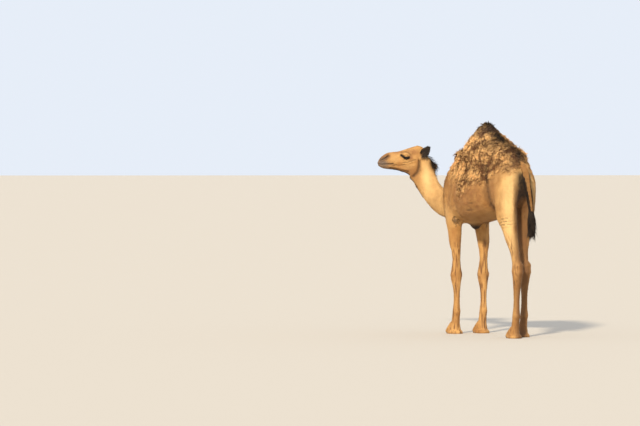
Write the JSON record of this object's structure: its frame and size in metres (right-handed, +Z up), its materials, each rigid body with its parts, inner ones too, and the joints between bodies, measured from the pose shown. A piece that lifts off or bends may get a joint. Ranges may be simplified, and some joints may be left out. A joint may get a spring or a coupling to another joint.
{
  "type": "dromedary camel",
  "caption": "Life-size one-humped camel, standing with its head turned to its left, woolly over the hump and back.",
  "frame": {"origin": "on the ground, under the middle of the whole animal's box", "axes": "+Z up; the animal faces -Y, with its left side towards +X"},
  "size_m": [0.8062, 2.2902, 2.1293],
  "materials": {
    "coat": "short smooth golden tan hair",
    "wool": "thick curly brown wool in clumps",
    "dark_hair": "coarse near-black hair",
    "eye": "wet, very dark brown",
    "horn": "worn grey-brown horn"
  },
  "bodies": {
    "root": {"trunk": "coat", "hump": "wool", "neck": "coat", "head": "coat", "ear_left": "dark_hair", "ear_right": "dark_hair", "eye_left": "eye", "eye_right": "eye", "tail": "dark_hair", "fore_leg_left": "coat", "fore_foot_left": "coat", "fore_nail_left_outer": "horn", "fore_nail_left_inner": "horn", "fore_leg_right": "coat", "fore_foot_right": "coat", "fore_nail_right_outer": "horn", "fore_nail_right_inner": "horn", "hind_leg_left": "coat", "hind_foot_left": "coat", "hind_nail_left_outer": "horn", "hind_nail_left_inner": "horn", "hind_leg_right": "coat", "hind_foot_right": "coat", "hind_nail_right_outer": "horn", "hind_nail_right_inner": "horn"}
  },
  "joints": []
}
